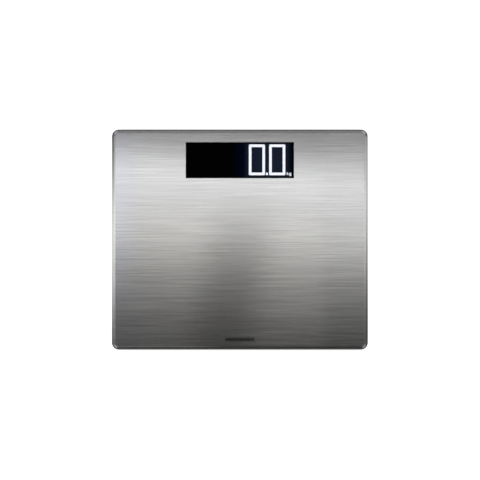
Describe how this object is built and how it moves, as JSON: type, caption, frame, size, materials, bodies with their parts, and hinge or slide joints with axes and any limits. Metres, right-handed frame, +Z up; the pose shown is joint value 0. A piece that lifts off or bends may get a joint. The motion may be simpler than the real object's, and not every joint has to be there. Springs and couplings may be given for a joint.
{
  "type": "digital bathroom scale",
  "caption": "Low rectangular bathroom scale: brushed steel tread plate with a flush dark display window, plastic base, load-cell feet and an AAA battery box.",
  "frame": {"origin": "on the floor under the middle of the platform", "axes": "+X to the user's right, +Y away from the user towards the display, +Z up"},
  "size_m": [0.35, 0.301, 0.025],
  "materials": {
    "brushed_sheet": "brushed along the width, satin",
    "foam_tape": "matte foam",
    "black_foam": "matte foam",
    "frame_plastic": "moulded",
    "smoked_window": "polished",
    "lit_segments": "lit",
    "lcd_glass": "polished",
    "white_plastic": "moulded",
    "clear_plastic": "polished",
    "led_package": "moulded",
    "strip_rubber": "matte",
    "circuit_board": "lacquered",
    "chip_package": "moulded",
    "board_parts": "mixed small parts",
    "zinc_steel": "zinc plated",
    "switch_plastic": "moulded",
    "button_plastic": "moulded",
    "base_plastic": "fine spark texture",
    "plated_steel": "nickel plated",
    "lead_insulation": "soft",
    "gauge_foil": "foil",
    "silicone": "satin",
    "battery_can": "gloss sleeve",
    "load_cell_steel": "nickel plated",
    "foot_plastic": "moulded",
    "pad_rubber": "matte"
  },
  "bodies": {
    "chassis": {"tread_plate": "brushed_sheet", "plate_tape": "foam_tape", "window_tape": "black_foam", "lcd_gasket": "black_foam", "top_frame": "frame_plastic", "display_window": "smoked_window", "lcd_segments": "lit_segments", "lcd_panel": "lcd_glass", "lcd_frame": "white_plastic", "light_guide": "clear_plastic", "light_reflector": "white_plastic", "backlight_leds": "led_package", "zebra_strips": "strip_rubber", "display_board": "circuit_board", "controller_chip": "chip_package", "board_parts": "board_parts", "lead_sockets": "white_plastic", "board_screws": "zinc_steel", "unit_switch": "switch_plastic", "base_shell": "base_plastic", "housing_screws": "zinc_steel", "battery_springs": "plated_steel", "battery_plates": "plated_steel", "battery_leads": "lead_insulation", "strain_gauges": "gauge_foil", "gauge_seals": "silicone", "battery_1": "battery_can", "battery_2": "battery_can", "battery_3": "battery_can", "load_cell_front_left": "load_cell_steel", "cell_clip_front_left": "white_plastic", "sensor_lead_front_left": "lead_insulation", "load_cell_front_right": "load_cell_steel", "cell_clip_front_right": "white_plastic", "sensor_lead_front_right": "lead_insulation", "load_cell_rear_left": "load_cell_steel", "cell_clip_rear_left": "white_plastic", "sensor_lead_rear_left": "lead_insulation", "load_cell_rear_right": "load_cell_steel", "cell_clip_rear_right": "white_plastic", "sensor_lead_rear_right": "lead_insulation"},
    "battery_door": {"battery_door": "base_plastic"},
    "unit_button": {"unit_button": "button_plastic", "unit_plunger": "white_plastic"},
    "foot_front_left": {"foot_front_left": "foot_plastic", "foot_pad_front_left": "pad_rubber", "foot_rivet_front_left": "plated_steel"},
    "foot_front_right": {"foot_front_right": "foot_plastic", "foot_pad_front_right": "pad_rubber", "foot_rivet_front_right": "plated_steel"},
    "foot_rear_left": {"foot_rear_left": "foot_plastic", "foot_pad_rear_left": "pad_rubber", "foot_rivet_rear_left": "plated_steel"},
    "foot_rear_right": {"foot_rear_right": "foot_plastic", "foot_pad_rear_right": "pad_rubber", "foot_rivet_rear_right": "plated_steel"}
  },
  "joints": [
    {"name": "battery_door_hinge", "type": "hinge", "parent": "chassis", "child": "battery_door", "pos_m": [0, 0.0435, 0.006], "axis": [1, 0, 0], "range_deg": [0, 90]},
    {"name": "unit_button_press", "type": "slide", "parent": "chassis", "child": "unit_button", "axis": [0, 0, 1], "range_m": [0, 0.0005], "stiffness_N_per_m": 2500},
    {"name": "load_cell_front_left_flex", "type": "slide", "parent": "chassis", "child": "foot_front_left", "axis": [0, 0, 1], "range_m": [0, 0.0005], "stiffness_N_per_m": 2000, "springref_m": -0.0022, "deforming": ["load_cell_front_left"]},
    {"name": "load_cell_front_right_flex", "type": "slide", "parent": "chassis", "child": "foot_front_right", "axis": [0, 0, 1], "range_m": [0, 0.0005], "stiffness_N_per_m": 2000, "springref_m": -0.0022, "deforming": ["load_cell_front_right"]},
    {"name": "load_cell_rear_left_flex", "type": "slide", "parent": "chassis", "child": "foot_rear_left", "axis": [0, 0, 1], "range_m": [0, 0.0005], "stiffness_N_per_m": 2000, "springref_m": -0.0022, "deforming": ["load_cell_rear_left"]},
    {"name": "load_cell_rear_right_flex", "type": "slide", "parent": "chassis", "child": "foot_rear_right", "axis": [0, 0, 1], "range_m": [0, 0.0005], "stiffness_N_per_m": 2000, "springref_m": -0.0022, "deforming": ["load_cell_rear_right"]}
  ]
}
